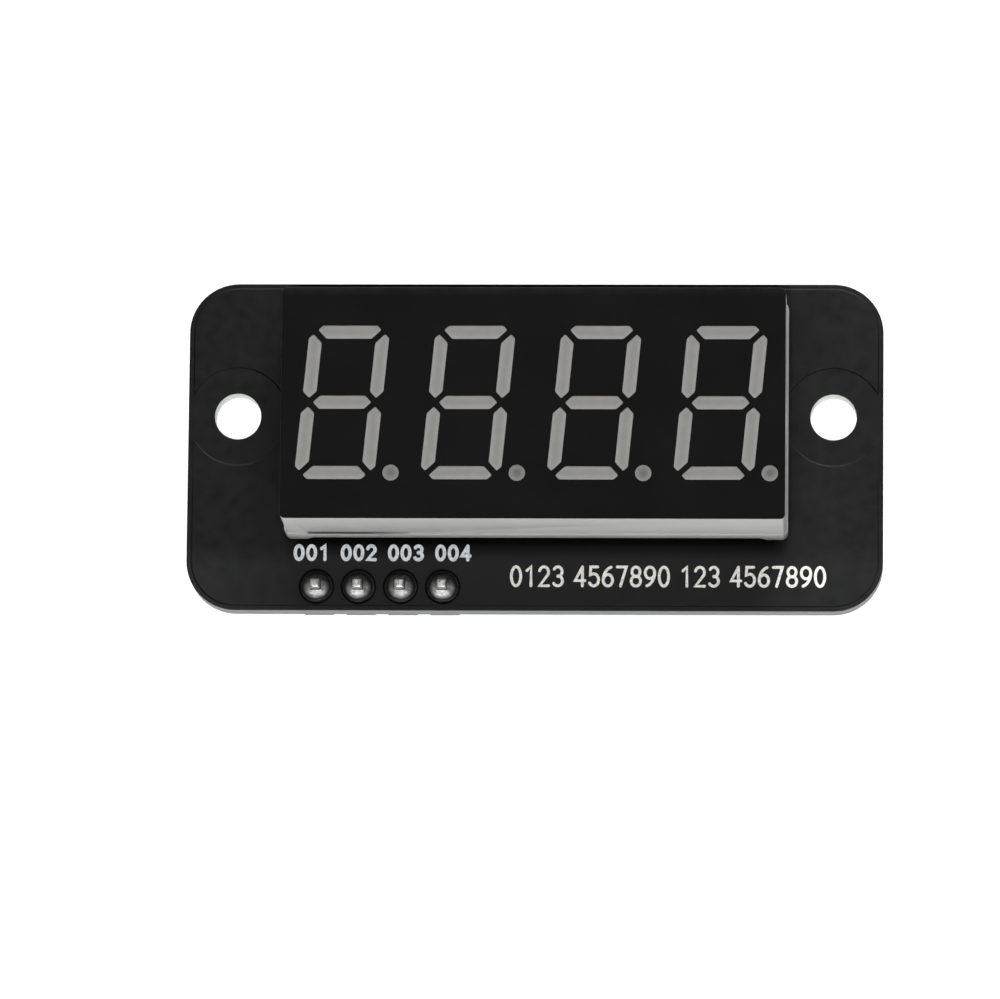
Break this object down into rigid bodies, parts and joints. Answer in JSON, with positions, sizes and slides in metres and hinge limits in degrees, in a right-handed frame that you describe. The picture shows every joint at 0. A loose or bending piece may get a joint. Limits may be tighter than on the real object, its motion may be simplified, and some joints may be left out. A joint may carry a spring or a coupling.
{
  "type": "seven segment display module",
  "caption": "Rounded black circuit board with a numeric segment display on its front, a mounting hole near each end and a pin header behind.",
  "frame": {"origin": "midpoint between the centres of the mounting holes, on the rear face of the board", "axes": "+X along the board to the right of a reader, +Y to the top of the digits, +Z out of the display's face"},
  "size_m": [0.042, 0.0201, 0.0163],
  "materials": {
    "laminate": "sawn glass fibre laminate",
    "solder_mask": "satin",
    "tinned_copper": "tinned",
    "white_housing": "moulded, satin",
    "black_face": "matt",
    "window_resin": "cast diffusing resin, satin",
    "inner_board": "laminate",
    "light_die": "polished",
    "potting_resin": "cast",
    "pin_metal": "tinned brass",
    "solder": "bright solder",
    "header_plastic": "moulded",
    "chip_moulding": "moulded, fine grain",
    "lead_metal": "tinned",
    "capacitor_ceramic": "unglazed",
    "resistor_body": "glazed"
  },
  "bodies": {
    "root": {"circuit_board": "laminate", "front_solder_mask": "solder_mask", "rear_solder_mask": "solder_mask", "header_pads": "tinned_copper", "display_pads": "tinned_copper", "small_part_pads": "tinned_copper", "display_housing": "white_housing", "display_face": "black_face", "digit_1_segment_a": "window_resin", "digit_1_segment_b": "window_resin", "digit_1_segment_c": "window_resin", "digit_1_segment_d": "window_resin", "digit_1_segment_e": "window_resin", "digit_1_segment_f": "window_resin", "digit_1_segment_g": "window_resin", "digit_2_segment_a": "window_resin", "digit_2_segment_b": "window_resin", "digit_2_segment_c": "window_resin", "digit_2_segment_d": "window_resin", "digit_2_segment_e": "window_resin", "digit_2_segment_f": "window_resin", "digit_2_segment_g": "window_resin", "digit_3_segment_a": "window_resin", "digit_3_segment_b": "window_resin", "digit_3_segment_c": "window_resin", "digit_3_segment_d": "window_resin", "digit_3_segment_e": "window_resin", "digit_3_segment_f": "window_resin", "digit_3_segment_g": "window_resin", "digit_4_segment_a": "window_resin", "digit_4_segment_b": "window_resin", "digit_4_segment_c": "window_resin", "digit_4_segment_d": "window_resin", "digit_4_segment_e": "window_resin", "digit_4_segment_f": "window_resin", "digit_4_segment_g": "window_resin", "digit_1_point": "window_resin", "digit_2_point": "window_resin", "digit_3_point": "window_resin", "digit_4_point": "window_resin", "inner_board": "inner_board", "light_dies": "light_die", "potting": "potting_resin", "display_pins": "pin_metal", "header_pin_1": "pin_metal", "header_pin_2": "pin_metal", "header_pin_3": "pin_metal", "header_pin_4": "pin_metal", "display_solder": "solder", "header_solder": "solder", "small_solder": "solder", "header_body": "header_plastic", "driver_chip": "chip_moulding", "chip_leads": "lead_metal", "end_caps": "lead_metal", "supply_capacitor": "capacitor_ceramic", "filter_capacitor": "capacitor_ceramic", "clock_resistor": "resistor_body", "data_resistor": "resistor_body"}
  },
  "joints": []
}
